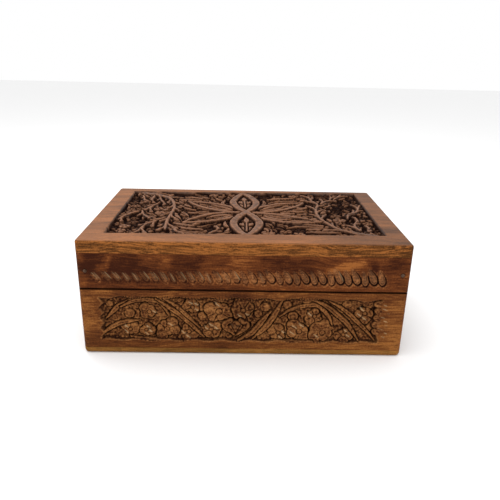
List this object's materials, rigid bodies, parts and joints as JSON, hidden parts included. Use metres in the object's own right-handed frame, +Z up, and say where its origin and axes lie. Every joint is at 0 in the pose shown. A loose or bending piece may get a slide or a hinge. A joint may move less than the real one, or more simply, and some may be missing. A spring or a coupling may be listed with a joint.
{
  "type": "jewelry box",
  "caption": "Low rectangular wooden box with a hinged lid, carved top and front, and a velvet-lined compartment.",
  "frame": {"origin": "middle of the underside of the bottom board", "axes": "+X along the front towards the right end, +Y from the front to the hinges, +Z up; lid closed"},
  "size_m": [0.203, 0.128, 0.0765],
  "materials": {
    "wood_walls": "hand-carved hardwood, dark red-brown, oiled to a satin finish",
    "wood_top": "hand-carved plank, paler brown border, dark carved ground, satin",
    "wood_bottom": "thin plain board, lighter golden brown, satin",
    "velvet": "deep red velvet on card",
    "brass": "aged brass, soft sheen",
    "brass_screws": "slotted brass screws, aged",
    "steel": "bright wire, slightly dulled"
  },
  "bodies": {
    "base": {"base_back_wall": "wood_walls", "base_floor_pad": "velvet", "base_front_wall": "wood_walls", "base_left_wall": "wood_walls", "base_lining_back": "velvet", "base_lining_front": "velvet", "base_lining_left": "velvet", "base_lining_right": "velvet", "base_right_wall": "wood_walls", "bottom_board": "wood_bottom", "bottom_nails": "steel", "left_hinge_base_leaf": "brass", "left_hinge_base_screws": "brass_screws", "left_hinge_pin": "steel", "right_hinge_base_leaf": "brass", "right_hinge_base_screws": "brass_screws", "right_hinge_pin": "steel"},
    "lid": {"left_hinge_lid_leaf": "brass", "left_hinge_lid_screws": "brass_screws", "lid_back_wall": "wood_walls", "lid_ceiling_pad": "velvet", "lid_corner_nails": "steel", "lid_front_wall": "wood_walls", "lid_left_wall": "wood_walls", "lid_lining_back": "velvet", "lid_lining_front": "velvet", "lid_lining_left": "velvet", "lid_lining_right": "velvet", "lid_right_wall": "wood_walls", "lid_top_board": "wood_top", "right_hinge_lid_leaf": "brass", "right_hinge_lid_screws": "brass_screws"}
  },
  "joints": [
    {"name": "lid_hinge", "type": "hinge", "parent": "base", "child": "lid", "pos_m": [0, 0.061, 0.045], "axis": [-1, 0, 0], "range_deg": [0, 100]}
  ]
}
